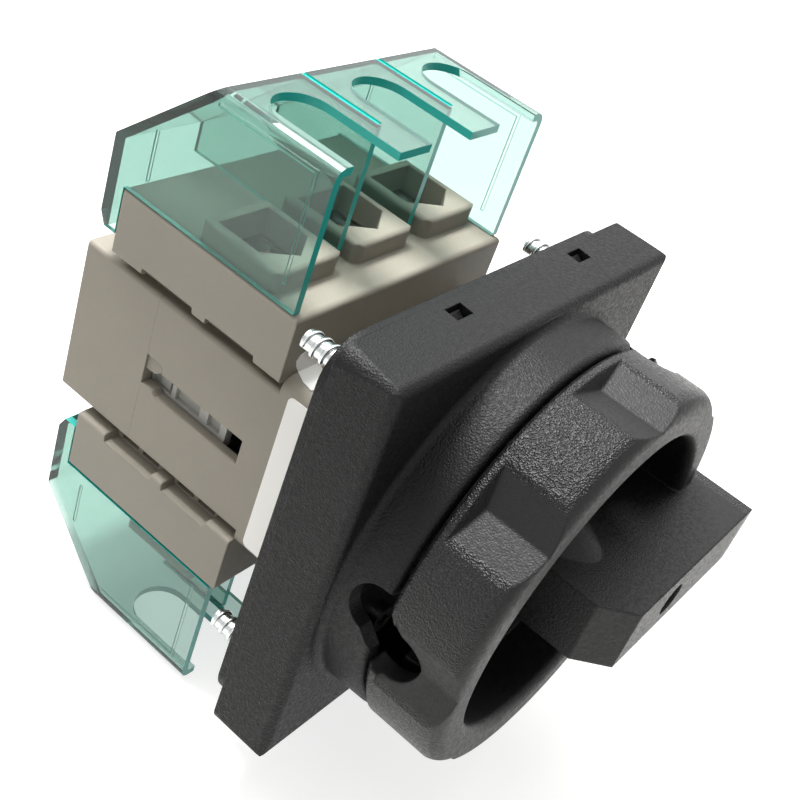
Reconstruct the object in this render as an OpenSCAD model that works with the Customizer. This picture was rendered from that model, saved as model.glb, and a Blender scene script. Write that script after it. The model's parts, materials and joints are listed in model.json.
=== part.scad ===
// Three-pole rotary switch disconnector for a panel door, with clear terminal covers.
// X points right when facing the knob, the knob looks to -Y and Z is up.
// The origin is on the knob's axis, in the back face of the mounting frame.

/* [Front plate] */
// Side of the square masking plate at its back
plate_w = 90; // [88:0.5:96]
// How far each side of the plate leans in towards its face
plate_draft = 0.8; // [0.2:0.1:1.5]
// Rounding of the plate's front edges
plate_edge = 1.8; // [0.4:0.1:2.4]
// Depth of the masking plate from its face to the mounting frame
plate_t = 12.3; // [10:0.1:16]
// Corner radius of the masking plate
plate_r = 4; // [1.5:0.1:5]
// Wall of the masking plate
plate_wall = 2.5; // [2:0.1:3.5]
// Radius of the round collar at its rim
collar_r = 41.7; // [41:0.1:42]
// Fillet between the collar and the plate's face
collar_fillet = 1.5; // [0.5:0.1:1.8]
// Rounding of the collar's outer rim
collar_edge = 1.4; // [0.5:0.1:2]
// Height of the collar over the plate's face
collar_h = 10; // [8:0.1:13]
// Wall of the collar
collar_wall = 3.2; // [2:0.1:4]
// Side of the mounting frame
frame_w = 85.5; // [82:0.5:88]
// Thickness of the mounting frame
frame_t = 3; // [2:0.1:5]
// Corner radius of the mounting frame
frame_r = 8; // [4:0.5:12]
// Depth of the pocket in the frame's back that seats the housing
frame_pocket = 0.8; // [0.4:0.1:1.2]
// Width of a snap window in the plate's top face
snap_w = 4.6; // [3:0.1:7]
// Distance between the two snap windows
snap_pitch = 39.5; // [30:0.5:50]
// Thickness of the frame's snap hooks
hook_t = 1.6; // [1.2:0.1:2]
// Length of the snap hooks in front of the frame
hook_l = 5; // [4.4:0.1:6]

/* [Mounting screws] */
// Spacing of the four screws, both ways
hole_pitch = 68; // [64:0.5:70]
// Screw diameter
screw_d = 5; // [4:0.1:6]
// How far the screws stand out behind the mounting frame
screw_out = 9.6; // [6:0.1:16]
// Diameter of the screw heads
screw_head_d = 9; // [8:0.1:10]
// Height of the screw heads
screw_head_h = 3.2; // [2.5:0.1:4]

/* [Body screws] */
// Thread diameter of the screws that hold the housing
body_screw_d = 3.5; // [3:0.1:4]
// Distance of these screws from each other, across
body_screw_x = 44; // [40:0.5:48]
// Distance of these screws from each other, up and down
body_screw_z = 35.4; // [35:0.1:36]
// How deep these screws go into the housing
body_screw_in = 11; // [8:0.5:13]

/* [Knob] */
// Outer radius over the knob's lobes
knob_r = 42; // [40:0.1:43.5]
// Depth of the knob, back edge to front ring
knob_h = 16.6; // [14:0.1:22]
// Gap between the collar and the knob
knob_gap = 0.7; // [0.4:0.1:1.5]
// Number of lobes round the knob
lobe_count = 8; // [6:1:10]
// Depth of the valleys between lobes
lobe_depth = 2.8; // [1:0.1:3]
// Angle of one lobe's land between two valleys
lobe_land = 22.5; // [18:0.5:28]
// Turn of the valleys from the grip
lobe_phase = 5; // [0:0.5:8]
// Rounding of the front edge over the lobes
rim_round = 3.5; // [1.5:0.1:4]
// Rounding of the recess's lip
lip_round = 2; // [0.5:0.1:2.4]
// Radius of the round recess
recess_r = 33; // [30:0.1:34]
// Depth of the round recess
recess_h = 11.8; // [9:0.1:13]
// Thickness of the recess floor and wall
recess_wall = 2; // [1.5:0.1:3]
// How far the grip stands out of the front ring
grip_out = 12.7; // [8:0.1:20]
// Thickness of the grip
grip_t = 14; // [11:0.1:18]
// Inner end of the grip, from the axis
grip_tail = 10.4; // [8:0.1:16]
// Outer end of the grip, from the axis
grip_reach = 43.6; // [40:0.1:44]
// Slope of the grip's inner end, along the grip
grip_slope = 5.4; // [2:0.1:8]
// Radius of the grip's conical foot at the recess floor
grip_foot_r = 12.4; // [10:0.1:12.6]
// Diameter of the hole in the grip
grip_hole_d = 7.2; // [4:0.1:9]
// Depth of the hole in the grip
grip_hole_h = 6; // [3:0.1:7]
// Place of the hole in the grip, from the axis
grip_hole_x = 12.6; // [8:0.1:25]
// Radius of the knob's bearing hub
hub_r = 11; // [9:0.1:13]
// Radius of the knob's padlock openings
lock_r = 5.5; // [3.5:0.1:6]
// Radius of the collar's padlock notches
notch_r = 5; // [3:0.1:5.4]
// Width of the neck between a knob opening and its notch
neck_w = 8; // [4:0.1:9]
// Opening of the split ring on the hub
ring_gap = 5; // [3:0.5:8]

/* [Shaft and cam] */
// Side of the square shaft
shaft_w = 8; // [6:0.1:10]
// Depth of the shaft's front end below the grip's face
shaft_in = 8; // [5:0.5:12]
// Radius of the cam drum
drum_r = 7.5; // [7:0.1:8.5]
// Length of the cam drum
drum_h = 16; // [14:0.1:17]
// Wall of the drum's journal round the shaft's corners
journal_wall = 2.4; // [1.8:0.1:3]
// Radius of the notches in the detent wheel
detent_notch_r = 2.2; // [1.8:0.1:2.6]
// Travel of the contact carrier over the switching angle
stroke = 6; // [4:0.1:7]
// Switching angle of the knob
switch_angle = 90; // [60:5:90]
// Radius of the follower pins
pin_r = 2; // [1.5:0.1:2.2]
// Radius of the detent wheel on the drum
detent_r = 9.6; // [9:0.1:10]
// Diameter of the detent plungers
plunger_d = 3.8; // [3:0.1:4]
// Mean radius of the detent springs
detent_spring_r = 1.3; // [1:0.1:1.4]
// Wire radius of the detent springs
detent_wire = 0.3; // [0.2:0.05:0.35]
// Radial clearance of running fits
fit = 0.05; // [0.02:0.01:0.09]

/* [Housing] */
// Width of the housing
housing_w = 59.6; // [58:0.1:61]
// Height of the housing between the terminal blocks
housing_h = 35; // [33:0.1:36]
// Height of the housing's front section
front_h = 41; // [38:0.1:44]
// Depth of the housing's front section
front_t = 14.3; // [12:0.1:16]
// Place of the seam between housing and rear cover
seam_y = 45; // [42:0.1:48]
// Back face of the rear cover
rear_y = 65; // [62:0.1:70]
// Front wall of the housing
front_wall = 5; // [4:0.1:6]
// Wall of the housing and the rear cover
housing_wall = 2.5; // [2:0.1:3]
// Front end of the side window
window_y0 = 18.8; // [16:0.1:22]
// Height of the side window
window_h = 6; // [5:0.1:7]

/* [Terminal blocks] */
// How far the outer poles' share of the width reaches past the housing, on each side
pole_margin = 1.7; // [0.8:0.1:2]
// How far the terminal blocks stand out past the housing, on each side
block_over = 1.2; // [0.8:0.1:1.6]
// Back face of the terminal blocks
block_y1 = 57.8; // [55:0.1:60]
// Underside of the terminal blocks
block_z0 = 19.5; // [19:0.1:21]
// Outer face of the terminal blocks
block_z1 = 33.3; // [32:0.1:36]
// Depth of the notches in the blocks' lower edge
notch_h = 1.6; // [0.5:0.1:2.5]
// Depth of the front foot between the notches
foot_w = 6.4; // [4:0.1:9]
// Middle of the narrow foot
mid_foot_y = 34.8; // [30:0.1:38]
// Depth of the narrow foot
mid_foot_w = 3; // [2:0.1:6]
// Front edge of the rear foot
rear_foot_y = 50; // [44:0.1:53]
// Rounding of the blocks' front edge
block_edge = 1.2; // [0.4:0.1:2]
// Length of the small pockets over the notches
pocket_l = 4.6; // [3:0.1:5]
// Depth of the small pockets over the notches
pocket_in = 1.2; // [0.8:0.1:1.6]
// Width of the raised bosses
boss_w = 16.6; // [15.5:0.1:17.5]
// Front face of the raised bosses
boss_y0 = 21.3; // [19:0.1:22]
// Back face of the raised bosses
boss_y1 = 40.4; // [39.5:0.1:44]
// Height of the raised bosses
boss_h = 4.3; // [2:0.1:5]
// Rounding of the bosses' top edges
boss_edge = 1; // [0.4:0.1:1.4]
// Width of the cable openings
entry_w = 12.7; // [10:0.1:13.2]
// Distance of the cable openings' point from the bosses' front
entry_tip = 2.7; // [2:0.1:4]
// Distance of the cable openings' shoulders from the bosses' front
entry_shoulder = 6.8; // [5:0.1:9]
// Distance of the cable openings' end from the bosses' back
entry_end = 2.4; // [1.8:0.1:4]
// Depth of the block behind the cage chambers
well_h = 7.8; // [6.5:0.1:9]

/* [Terminals] */
// Width of the current bars
bar_w = 9; // [7:0.1:9.4]
// Thickness of the current bars
bar_t = 1.8; // [1.2:0.1:2.5]
// Front face of the current bars
bar_y = 33; // [31:0.1:34]
// Diameter of the clamp screws
clamp_d = 5; // [4:0.1:5.5]
// Side of the clamp cages
cage_w = 13.2; // [12:0.1:13.4]
// Sheet of the clamp cages
cage_t = 1.4; // [1:0.1:1.8]

/* [Contacts] */
// Contact gap when switched off
contact_gap = 6; // [4:0.1:6.5]
// Diameter of the contact tips
tip_d = 5; // [4:0.1:6]
// Height of the contact tips
tip_h = 1; // [0.6:0.1:1.4]
// Thickness of the moving bridges
bridge_t = 2; // [1.5:0.1:2.4]
// Gap between the contact carrier and the housing's side walls
carrier_gap = 0.4; // [0.2:0.1:0.8]
// Height of the contact carrier
carrier_h = 11; // [9:0.1:11.4]
// Wire radius of the contact springs
spring_wire = 0.4; // [0.3:0.05:0.5]

/* [Terminal covers] */
// Height of the covers' outer face from the axis
cover_top = 61.6; // [58:0.1:66]
// Front edge of the covers
cover_y0 = 15.6; // [15:0.1:18]
// Ridge between the top face and the back slope
ridge_y = 42.2; // [40:0.1:48]
// Back face of the covers
cover_y1 = 62.4; // [61:0.1:64]
// Height at which the back slope meets the back face
slope_z = 42.3; // [38:0.1:48]
// Lower end of the covers' back lip
lip_z = 23.6; // [22:0.1:28]
// Wall of the covers
cover_wall = 1.6; // [1.2:0.1:2]
// Width of the slots in the covers
slot_w = 12.2; // [9:0.1:13]
// Closed end of the slots in the covers
slot_end = 37.8; // [33:0.1:39]
// Front edge of the partitions
partition_y0 = 24; // [20:0.1:28]
// Distance of the groove inside the side walls from the front edge
line_front = 4; // [3:0.1:6]
// Distance of the rear groove from the inside of the back wall
line_back = 7.4; // [5:0.1:10]

/* [Hidden] */

black = "#2b2b2b";
grey = "#8f8b80";
pale_grey = "#b5b3aa";
teal = "#5fb5a6";
zinc = "#c9ccc8";
copper = "#b87a50";

seam = 0.2;
front_y = -frame_pocket;
plate_face = -frame_t - plate_t;
draft_angle = atan(plate_draft / plate_t);
edge_x = plate_w / 2 - plate_draft * (plate_t - plate_edge) / plate_t - plate_edge / cos(draft_angle);
catch_y = -frame_t - hook_l + 2.9;
shank_relief = 0.35;
collar_face = plate_face - collar_h;
collar_in = collar_r - collar_wall;
collar_foot_r = collar_r + 0.2 + collar_fillet;
knob_back = collar_face - knob_gap;
knob_face = knob_back - knob_h;
grip_face = knob_face - grip_out;
floor_y = knob_face + recess_h;
rim_t = 3;
valley_r = knob_r - lobe_depth;
runout_y0 = knob_back - 3.8;
runout_y1 = knob_back - 1.4;
skirt_in = valley_r - 1.9;
tub_r = recess_r + recess_wall;
hub_back = -frame_t - 1.4;
hub_wall = 3.6;
retainer_t = 1;
retainer_y = hub_back - 0.4 - retainer_t;
plate_hub_back = retainer_y - seam;
shaft_hole = shaft_w + 0.2;
shaft_y0 = grip_face + shaft_in;
journal_r = shaft_w / 2 * sqrt(2) + journal_wall;
frame_hole_r = hub_r + 3;

seal_wire = 0.9;
seal_y = -19;
seal_r = hub_r + 0.3 + seal_wire;

lock_angles = [180, 60, 300];
lock_y = knob_back - 3;
lock_turn = 5;
notch_y = collar_face + 1.8;
notch_turn = -4;
slot_over = 6;
neck_run = notch_y - lock_y;
neck_side = knob_r * (lock_turn - notch_turn) * PI / 180;

cavity_w = housing_w - 2 * housing_wall;
cavity_h = housing_h - 2 * housing_wall;
edge_r = 1;
front_r = 2.5;
window_top = 2.3;
window_low = window_top - window_h;
window_y1 = seam_y - 4.4;

pole_pitch = (housing_w + 2 * pole_margin) / 3;
block_w = housing_w + 2 * block_over;
poles = [-pole_pitch, 0, pole_pitch];
partitions = [-pole_pitch / 2, pole_pitch / 2];
chamber_w = entry_w + 1.1;
chamber_y0 = boss_y0 + 1.3;
chamber_y1 = block_y1 - well_h;
chamber_z = block_z1 - 1.3;
cage_y0 = chamber_y0 + 0.4;
cage_wall_y = bar_y + bar_t + 2.7;
cage_back = cage_wall_y + 2.5;
cage_z0 = block_z0 + notch_h + 0.9;
cage_z1 = chamber_z - 0.5;
cage_z = (cage_z0 + cage_z1) / 2;
screw_tip_y = bar_y + bar_t + seam;
head_y = chamber_y1 + 2.3;
head_r = clamp_d / 2 + 1.4;
head_h = 3.2;

bar_low = 6.5;
bar_top = chamber_z - 1;
tip_z = bar_low + tip_d / 2;
fixed_tip_y = bar_y + bar_t + tip_h;
bridge_tip_y = fixed_tip_y + 0.3 + contact_gap;
bridge_y = bridge_tip_y + tip_h;
bridge_h = 2 * tip_z + tip_d;
spring_y = bridge_y + bridge_t;
spring_len = 4.4;
carrier_y0 = 24.8;
pin_lead = 5.3;
carrier_bar_y = spring_y + spring_len;
carrier_y1 = carrier_bar_y + 2.5;
rail_t = 1.9;
rail_x = cavity_w / 2 - carrier_gap;
bridge_w = 2 * (rail_x - rail_t - seam - pole_pitch);
spring_r = bridge_w / 2 - spring_wire - 0.6;
lip_h = 3;
arm_t = 2.4;
arm_x = drum_r + 1.8;
arm_h = 3;
pin_y = carrier_y0 - pin_lead;

drum_y0 = front_wall + 3.5;
wheel_y = front_wall + 0.4;
groove_core = drum_r - 1.9;
turn_per_mm = switch_angle / stroke;
groove_half = 40;
plunger_y = front_wall + 2.1;
plunger_z = detent_r + 0.1;
plunger_len = 5;
plunger_z1 = plunger_z + plunger_len;
pocket_z = front_h / 2 - 1.4;

line_w = 0.7;
line_h = 0.35;
cover_base = block_z1 + seam;
cover_hook_y = block_y1 + 0.3;

// Extrusion of a profile drawn in X and Z, from y0 to y1
module along_y(y0, y1) {
    translate([0, y1, 0]) rotate([90, 0, 0]) linear_extrude(y1 - y0) children();
}

// Extrusion of a profile drawn in Y and Z, from x0 to x1
module along_x(x0, x1) {
    translate([x0, 0, 0]) rotate([90, 0, 90]) linear_extrude(x1 - x0) children();
}

// Round bar along Y from y0 to y1
module rod_y(y0, y1, r, r2 = -1) {
    translate([0, y0, 0]) rotate([-90, 0, 0]) cylinder(h = y1 - y0, r1 = r, r2 = r2 < 0 ? r : r2, $fn = 64);
}

// Body of revolution about Y from a profile of radius and Y
module turned_y() {
    rotate([-90, 0, 0]) rotate_extrude($fn = 96) children();
}

// Rectangle with round corners, centred
module round_rect(w, h, r) {
    square([w - 2 * r, h], center = true);
    square([w, h - 2 * r], center = true);
    for (x = [-1, 1], y = [-1, 1])
        translate([x * (w / 2 - r), y * (h / 2 - r)]) circle(r, $fn = 32);
}

// Upright block with round corners of radius r and top edges rounded by e
module soft_block(w, d, h, r, e) {
    intersection() {
        linear_extrude(h) round_rect(w, d, r);
        along_y(-d / 2 - 1, d / 2 + 1) soft_top(w, h, e);
        along_x(-w / 2 - 1, w / 2 + 1) soft_top(d, h, e);
    }
}

// Front view of such a block
module soft_top(w, h, e) {
    translate([-w / 2, -1]) square([w, h + 1 - e]);
    translate([-w / 2 + e, -1]) square([w - 2 * e, h + 1]);
    for (s = [-1, 1]) translate([s * (w / 2 - e), h - e]) circle(e, $fn = 32);
}

// Box between two corners
module box(a, b) {
    translate(a) cube(b - a);
}

module at_screws() {
    for (x = [-1, 1], z = [-1, 1]) translate([x * hole_pitch / 2, 0, z * hole_pitch / 2]) children();
}

module at_body_screws() {
    for (x = [-1, 1], z = [-1, 1]) translate([x * body_screw_x / 2, 0, z * body_screw_z / 2]) children();
}

module at_snaps() {
    for (x = [-1, 1], z = [0, 1]) mirror([0, 0, z]) translate([x * snap_pitch / 2 + 2, 0, 0]) children();
}

// Bar along Z with the plate's leaning sides and round front edges
module drafted_bar() {
    tip_x = edge_x + plate_edge * cos(draft_angle);
    tip_y = plate_face + plate_edge * (1 - sin(draft_angle));
    linear_extrude(plate_w + 2, center = true) {
        polygon([
            [edge_x, plate_face], [tip_x, tip_y], [plate_w / 2, -frame_t],
            [-plate_w / 2, -frame_t], [-tip_x, tip_y], [-edge_x, plate_face]
        ]);
        for (s = [-1, 1]) translate([s * edge_x, plate_face + plate_edge]) circle(plate_edge, $fn = 32);
    }
}

// Front plate: moulded shell with the collar, the knob's bearing and the screw bosses
module escutcheon_plate() {
    inner_w = plate_w - 2 * plate_wall;
    color(black) difference() {
        union() {
            difference() {
                intersection() {
                    along_y(plate_face - 1, -frame_t) round_rect(plate_w, plate_w, plate_r);
                    drafted_bar();
                    rotate([0, 90, 0]) drafted_bar();
                }
                along_y(plate_face + plate_wall, 0) round_rect(inner_w, inner_w, 1);
            }
            turned_y() collar_section();
            rod_y(collar_face + 1, plate_hub_back, hub_r + hub_wall);
            at_screws() rod_y(plate_face + 1, -frame_t, screw_head_d / 2 + 2.2);
            at_body_screws() rod_y(plate_face + 1, -frame_t, body_screw_d / 2 + 2);
        }
        rod_y(collar_face - 1, 0, hub_r + fit);
        turned_y() translate([0, seal_y - seal_wire - 0.1]) square([seal_r + seal_wire, 2 * seal_wire + 0.2]);
        at_screws() rod_y(-frame_t - screw_head_h - 0.3, 0, screw_head_d / 2 + 0.3);
        at_body_screws() rod_y(plate_face - 1, 0, body_screw_d / 2 + seam);
        for (a = lock_angles) rotate([0, -a - notch_turn, 0])
            lock_slot(notch_y, notch_r, atan2(neck_side, -neck_run));
        at_snaps() snap_window();
    }
}

// Half section of the collar as radius and Y, with a fillet at its foot and a round rim
module collar_section() {
    difference() {
        union() {
            polygon([
                [collar_in, plate_face + 1], [collar_foot_r, plate_face + 1],
                [collar_foot_r, plate_face - collar_fillet], [collar_r + 0.2, plate_face - collar_fillet],
                [collar_r, collar_face + collar_edge], [collar_r - collar_edge, collar_face],
                [collar_in, collar_face]
            ]);
            translate([collar_r - collar_edge, collar_face + collar_edge]) circle(collar_edge, $fn = 48);
        }
        translate([collar_foot_r, plate_face - collar_fillet]) circle(collar_fillet, $fn = 48);
    }
}

// Radial slot for a padlock bow, drawn towards +X: a round hole with a neck that leaves it at an angle
module lock_slot(y, r, neck_angle) {
    x0 = recess_r - slot_over;
    x1 = collar_foot_r + slot_over;
    reach = norm([neck_run, neck_side]) + lock_r / 2;
    translate([0, y, 0]) rotate([neck_angle, 0, 0]) {
        translate([x0, 0, 0]) rotate([0, 90, 0]) rotate([0, 0, 90]) cylinder(h = x1 - x0, r = r, $fn = 48);
        box([x0, 0, -neck_w / 2], [x1, reach, neck_w / 2]);
    }
}

// Opening in the plate's edge over a snap hook of the mounting frame
module snap_window() {
    box(
        [-snap_w / 2, catch_y - 2.7, plate_w / 2 - plate_wall - 1],
        [snap_w / 2, catch_y + 0.3, plate_w / 2 + 1]
    );
}

// Frame between the plate and the panel, with hooks that snap into the plate and a pocket for the housing
module mounting_frame() {
    color(black) {
        difference() {
            along_y(-frame_t, 0) round_rect(frame_w, frame_w, frame_r);
            at_screws() rod_y(-frame_t - 1, 1, screw_d / 2 + 0.1);
            at_body_screws() rod_y(-frame_t - 1, 1, body_screw_d / 2 + seam);
            rod_y(-frame_t - 1, 1, frame_hole_r);
            along_y(front_y, 1) round_rect(housing_w + 2 * seam, front_h + 2 * seam, front_r);
        }
        at_snaps() snap_hook();
    }
}

// Hook on a short tab at the frame's edge
module snap_hook() {
    z = plate_w / 2 - plate_wall - seam;
    half = snap_w / 2 - 0.4;
    box([-half, -frame_t, min(frame_w / 2, z) - 3], [half, -frame_t / 2, z]);
    along_x(-half, half) polygon([
        [-frame_t + 0.5, z - hook_t], [-frame_t - hook_l, z - hook_t], [-frame_t - hook_l + 0.4, z],
        [catch_y - 0.1, z + hook_t], [catch_y, z], [-frame_t + 0.5, z]
    ]);
}

// Four thread-forming screws, waisted inside the frame and blunt at the tip
module mounting_screws() {
    color(zinc) at_screws() difference() {
        union() {
            rod_y(-frame_t - screw_head_h, -frame_t, screw_head_d / 2);
            rod_y(-frame_t - 0.5, 0.5, screw_d / 2 - shank_relief);
            rod_y(0, screw_out - 1.4, screw_d / 2);
            rod_y(screw_out - 1.4, screw_out, screw_d / 2, screw_d / 2 - 0.9);
        }
        cross_recess(-frame_t - screw_head_h, screw_head_d * 0.28);
    }
}

// Four screws that hold the housing to the plate, hidden behind the knob
module body_screws() {
    head = body_screw_d * 0.9;
    color(zinc) at_body_screws() difference() {
        union() {
            rod_y(plate_face - 2.2, plate_face, head);
            rod_y(plate_face - 1, body_screw_in, body_screw_d / 2);
        }
        cross_recess(plate_face - 2.2, head * 0.6);
    }
}

module cross_recess(y, reach) {
    box([-0.5, y - 1, -reach], [0.5, y + 1.3, reach]);
    box([-reach, y - 1, -0.5], [reach, y + 1.3, 0.5]);
}

// Rubber ring round the knob's hub
module shaft_seal() {
    color(black) turned_y() translate([seal_r, seal_y]) circle(seal_wire, $fn = 24);
}

// Outline of the lobed rim: broad lands with V-shaped valleys between them
module lobed_outline() {
    half = (360 / lobe_count - lobe_land) / 2;
    reach = 1.4;
    far_x = valley_r + reach * (knob_r * cos(half) - valley_r);
    far_y = reach * knob_r * sin(half);
    difference() {
        circle(knob_r + 1, $fn = 128);
        for (i = [0 : lobe_count - 1]) rotate(i * 360 / lobe_count + lobe_phase)
            polygon([[valley_r, 0], [far_x, -far_y], [knob_r + 3, -far_y], [knob_r + 3, far_y], [far_x, far_y]]);
    }
}

// Knob: lobed skirt, deep round recess and an off-centre grip
module knob() {
    color(black) difference() {
        union() {
            intersection() {
                union() {
                    along_y(knob_face - 1, runout_y1) lobed_outline();
                    rod_y(runout_y0, runout_y1, valley_r - 0.4, knob_r + 1);
                    rod_y(runout_y1, knob_back + 1, knob_r + 1);
                }
                turned_y() knob_section();
            }
            grip();
            rod_y(floor_y, hub_back, hub_r);
        }
        turned_y() polygon([
            [hub_r, floor_y + recess_wall], [tub_r, floor_y + recess_wall], [tub_r, knob_face + rim_t],
            [skirt_in, knob_face + rim_t], [skirt_in, knob_back + 1], [hub_r, knob_back + 1]
        ]);
        box([-shaft_hole / 2, shaft_y0, -shaft_hole / 2], [shaft_hole / 2, 0, shaft_hole / 2]);
        retainer_groove();
        for (a = lock_angles) rotate([0, -a - lock_turn, 0])
            lock_slot(lock_y, lock_r, atan2(-neck_side, neck_run));
        translate([grip_hole_x, 0, 0]) rod_y(grip_face - 1, grip_face + grip_hole_h, grip_hole_d / 2);
    }
}

// Half section of the knob's body, with the round front edge and lip and the round recess
module knob_section() {
    back_edge = 0.8;
    difference() {
        union() {
            translate([0, knob_face + rim_round]) square([knob_r, knob_h - rim_round - back_edge]);
            translate([0, knob_face]) square([knob_r - rim_round, knob_h - back_edge]);
            translate([knob_r - rim_round, knob_face + rim_round]) circle(rim_round, $fn = 48);
            polygon([
                [0, knob_back - back_edge], [knob_r, knob_back - back_edge],
                [knob_r - back_edge, knob_back], [0, knob_back]
            ]);
        }
        translate([0, knob_face - 1]) square([recess_r, recess_h + 1]);
        difference() {
            translate([0, knob_face - 1]) square([recess_r + lip_round, lip_round + 1]);
            translate([recess_r + lip_round, knob_face + lip_round]) circle(lip_round, $fn = 48);
        }
    }
}

// Grip: a thick blade from the hub to the rim, with a conical foot and a sloped inner end
module grip() {
    slope_h = 6.6;
    blade_y1 = floor_y + 0.5;
    translate([0, 0, -grip_t / 2]) linear_extrude(grip_t) polygon([
        [-grip_tail, blade_y1], [-grip_tail, grip_face + slope_h], [-grip_tail + grip_slope, grip_face],
        [grip_reach, grip_face], [grip_reach, knob_face + rim_t + 1], [recess_r + 1, knob_face + rim_t + 3],
        [recess_r + 1, blade_y1]
    ]);
    rod_y(knob_face, blade_y1, grip_t / 2, grip_foot_r);
}

module retainer_groove() {
    difference() {
        rod_y(retainer_y - 0.05, retainer_y + retainer_t + 0.05, hub_r + 1);
        rod_y(retainer_y - 1, retainer_y + retainer_t + 1, hub_r - 1);
    }
}

// Split ring that holds the knob's hub in the plate
module knob_retainer() {
    color(zinc) difference() {
        rod_y(retainer_y, retainer_y + retainer_t, hub_r + 1.8);
        rod_y(retainer_y - 1, retainer_y + retainer_t + 1, hub_r - 0.9);
        box([-ring_gap / 2, retainer_y - 1, -hub_r - 4], [ring_gap / 2, retainer_y + retainer_t + 1, 0]);
    }
}

// Square shaft from the knob to the cam drum
module drive_shaft() {
    h = shaft_w / 2;
    color(zinc) box([-h, shaft_y0 + 0.4, -h], [h, drum_y0 + drum_h - 1.5, h]);
}

// Cam drum: two steep grooves turn the knob's turn into the carrier's travel
module cam_drum() {
    color(pale_grey) difference() {
        union() {
            translate([0, drum_y0, 0]) rotate([-90, 0, 0])
                linear_extrude(drum_h, twist = -turn_per_mm * drum_h, slices = 40)
                    rotate(turn_per_mm * (drum_y0 - pin_y)) drum_section();
            rod_y(0.3, drum_y0 + 0.4, journal_r);
            detent_wheel();
        }
        box([-shaft_hole / 2, -1, -shaft_hole / 2], [shaft_hole / 2, drum_y0 + drum_h + 1, shaft_hole / 2]);
    }
}

// Section of the drum: a core with two ribs between the grooves
module drum_section() {
    circle(groove_core, $fn = 32);
    for (s = [0, 180]) rotate(s) polygon(concat(
        [[0, 0]],
        [for (i = [0 : 6]) let(a = groove_half + (180 - 2 * groove_half) * i / 6) drum_r * [cos(a), sin(a)]]
    ));
}

// Wheel with a notch at each quarter turn
module detent_wheel() {
    difference() {
        rod_y(wheel_y, drum_y0 + 0.1, detent_r);
        for (a = [0 : 90 : 270]) rotate([0, a, 0]) translate([0, 0, detent_r + detent_notch_r / 2])
            rod_y(front_wall, drum_y0 + 1, detent_notch_r);
    }
}

// Spring-loaded plungers, one above and one below the detent wheel
module detent_plungers() {
    r = plunger_d / 2;
    color(pale_grey) for (s = [0, 1]) mirror([0, 0, s]) translate([0, plunger_y, 0]) {
        translate([0, 0, plunger_z]) cylinder(h = 1.2, r1 = r - 1, r2 = r, $fn = 48);
        translate([0, 0, plunger_z + 1.2]) cylinder(h = plunger_len - 1.2, r = r, $fn = 48);
    }
}

module detent_springs() {
    color(zinc) for (s = [0, 1]) mirror([0, 0, s]) translate([0, plunger_y, plunger_z1 + 0.1])
        coil(detent_spring_r, detent_wire, pocket_z - plunger_z1 - 0.2, 3.5);
}

// Front housing: closed at the front, open to the rear cover, with guides for the carrier
module front_housing() {
    guide_r = plunger_d / 2 + 0.1;
    color(grey) difference() {
        union() {
            along_y(front_y, front_t) round_rect(housing_w, front_h, front_r);
            along_y(front_t - 0.5, seam_y) round_rect(housing_w, housing_h, edge_r);
        }
        difference() {
            box([-cavity_w / 2, front_wall, -cavity_h / 2], [cavity_w / 2, seam_y + 1, cavity_h / 2]);
            for (x = [0, 1], z = [0, 1]) mirror([x, 0, 0]) mirror([0, 0, z]) guide_rib();
            for (z = [0, 1]) mirror([0, 0, z]) box(
                [-guide_r - 1.4, front_wall - 1, plunger_z + 1.5],
                [guide_r + 1.4, plunger_y + guide_r + 0.5, cavity_h]
            );
        }
        rod_y(front_y - 1, front_wall + 1, journal_r + fit);
        for (z = [0, 1]) mirror([0, 0, z]) translate([0, plunger_y, plunger_z])
            cylinder(h = pocket_z - plunger_z, r = guide_r, $fn = 48);
        at_body_screws() rod_y(front_y - 1, body_screw_in + 0.5, body_screw_d / 2 + 0.05);
        for (x = poles, z = [0, 1]) mirror([0, 0, z]) bar_slot(x, bar_low - seam, housing_h / 2 + 1);
        for (x = [0, 1]) mirror([x, 0, 0]) side_window();
    }
}

// Guide rib on the cavity's side wall, next to a carrier rail
module guide_rib() {
    w = 1.5;
    z = carrier_h / 2 + 0.4;
    box([cavity_w / 2 - w, front_wall + 5, z], [cavity_w / 2 + 1, seam_y - 1, z + w]);
}

// Slot where a current bar goes through, from z0 to z1
module bar_slot(x, z0, z1) {
    gap = 0.25;
    box([x - bar_w / 2 - gap, bar_y - gap, z0], [x + bar_w / 2 + gap, bar_y + bar_t + gap, z1]);
}

// Window in the housing's side through which the carrier shows
module side_window() {
    along_x(cavity_w / 2 - 1, housing_w / 2 + 1) polygon([
        [window_y0, window_low], [window_y0, window_top],
        [window_y1, window_top], [window_y1, window_top + 1.4],
        [window_y1 + 1, window_top + 1.9], [seam_y + 1, window_top + 1.9], [seam_y + 1, window_low + 1.1],
        [window_y1 + 1.4, window_low + 0.9], [window_y1 + 0.4, window_low]
    ]);
}

// Rear cover: a cap over the back of the mechanism, with two snap arms
module rear_cover() {
    color(grey) {
        difference() {
            along_y(seam_y, rear_y) round_rect(housing_w, housing_h, edge_r);
            box(
                [-cavity_w / 2, seam_y - 1, -cavity_h / 2],
                [cavity_w / 2, rear_y - housing_wall, cavity_h / 2]
            );
        }
        for (x = [0, 1]) mirror([x, 0, 0]) snap_arm();
    }
}

// Arm of the rear cover that hooks into the side window
module snap_arm() {
    z = window_top;
    along_x(housing_w / 2 - 1.9, housing_w / 2 - 0.5) polygon([
        [seam_y + 0.5, z - 1.7], [seam_y - 2.6, z - 1.4], [seam_y - 4, z - 0.1], [seam_y - 4, z + 1.1],
        [seam_y - 3.2, z + 1.6], [seam_y + 0.5, z + 1.6]
    ]);
}

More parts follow.
